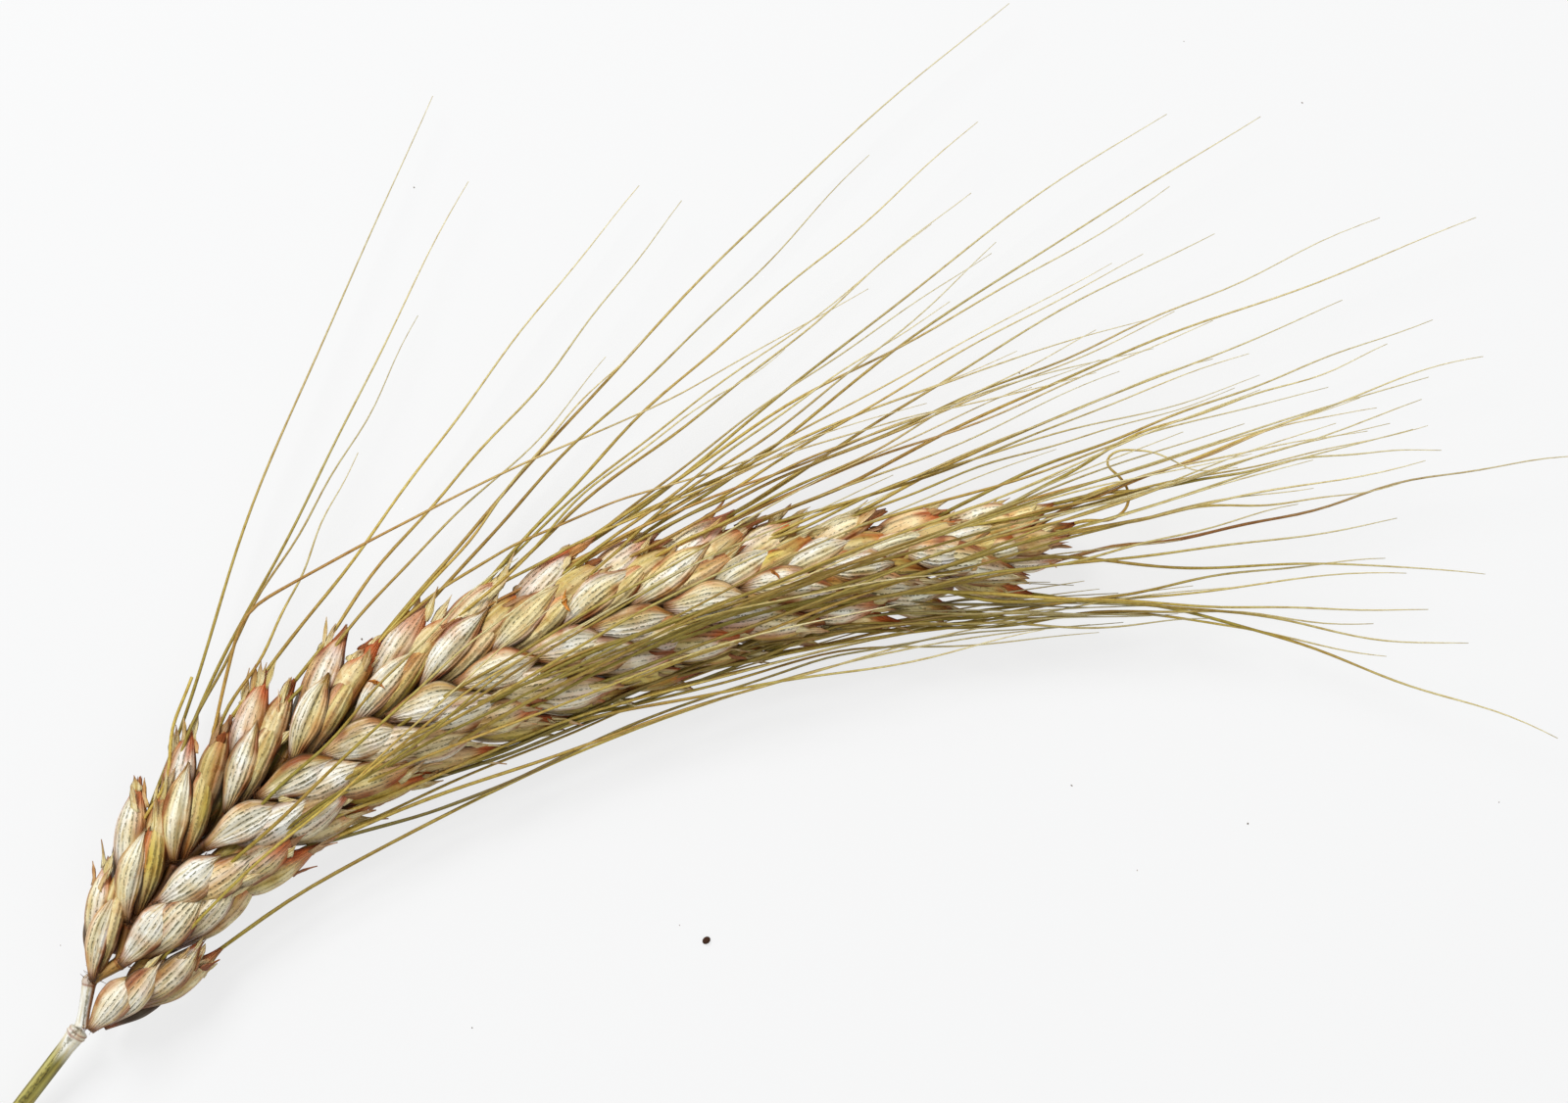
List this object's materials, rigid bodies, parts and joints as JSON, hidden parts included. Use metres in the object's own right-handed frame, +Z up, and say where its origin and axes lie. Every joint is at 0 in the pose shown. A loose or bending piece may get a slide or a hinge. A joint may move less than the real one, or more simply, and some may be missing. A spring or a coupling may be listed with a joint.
{
  "type": "wheat ear",
  "caption": "Dried ear of bearded wheat with a short cut stem, two rows of spikelets on a zigzag rachis and long bristle awns, lying on its side.",
  "frame": {"origin": "on the surface that the ear lies on, under the middle of its bounding box", "axes": "+X from the collar at the top of the stem to the tip of the ear, +Y to the row of spikelets on the outside of the curve, +Z up from the surface"},
  "size_m": [0.1654, 0.1016, 0.0161],
  "materials": {
    "straw": "dry, fibrous, matt",
    "husk": "dry papery scale with fine veins, slight sheen",
    "bristle": "fine dry bristle, slightly glossy"
  },
  "bodies": {
    "root": {"stem": "straw", "rachis": "straw", "spikelet_lower_01": "husk", "spikelet_lower_02": "husk", "spikelet_lower_03": "husk", "spikelet_lower_04": "husk", "spikelet_lower_05": "husk", "spikelet_lower_06": "husk", "spikelet_lower_07": "husk", "spikelet_lower_08": "husk", "spikelet_lower_09": "husk", "spikelet_lower_10": "husk", "spikelet_lower_11": "husk", "spikelet_lower_12": "husk", "spikelet_lower_13": "husk", "spikelet_lower_14": "husk", "spikelet_upper_01": "husk", "spikelet_upper_02": "husk", "spikelet_upper_03": "husk", "spikelet_upper_04": "husk", "spikelet_upper_05": "husk", "spikelet_upper_06": "husk", "spikelet_upper_07": "husk", "spikelet_upper_08": "husk", "spikelet_upper_09": "husk", "spikelet_upper_10": "husk", "spikelet_upper_11": "husk", "spikelet_upper_12": "husk", "spikelet_upper_13": "husk", "spikelet_upper_14": "husk", "spikelet_terminal": "husk", "awn_lower_01": "bristle", "awn_lower_02": "bristle", "awn_lower_03": "bristle", "awn_lower_04": "bristle", "awn_lower_05": "bristle", "awn_lower_06": "bristle", "awn_lower_07": "bristle", "awn_lower_08": "bristle", "awn_lower_09": "bristle", "awn_lower_10": "bristle", "awn_lower_11": "bristle", "awn_lower_12": "bristle", "awn_lower_13": "bristle", "awn_lower_14": "bristle", "awn_upper_01": "bristle", "awn_upper_02": "bristle", "awn_upper_03": "bristle", "awn_upper_04": "bristle", "awn_upper_05": "bristle", "awn_upper_06": "bristle", "awn_upper_07": "bristle", "awn_upper_08": "bristle", "awn_upper_09": "bristle", "awn_upper_10": "bristle", "awn_upper_11": "bristle", "awn_upper_12": "bristle", "awn_upper_13": "bristle", "awn_upper_14": "bristle", "awn_terminal": "bristle"}
  },
  "joints": []
}
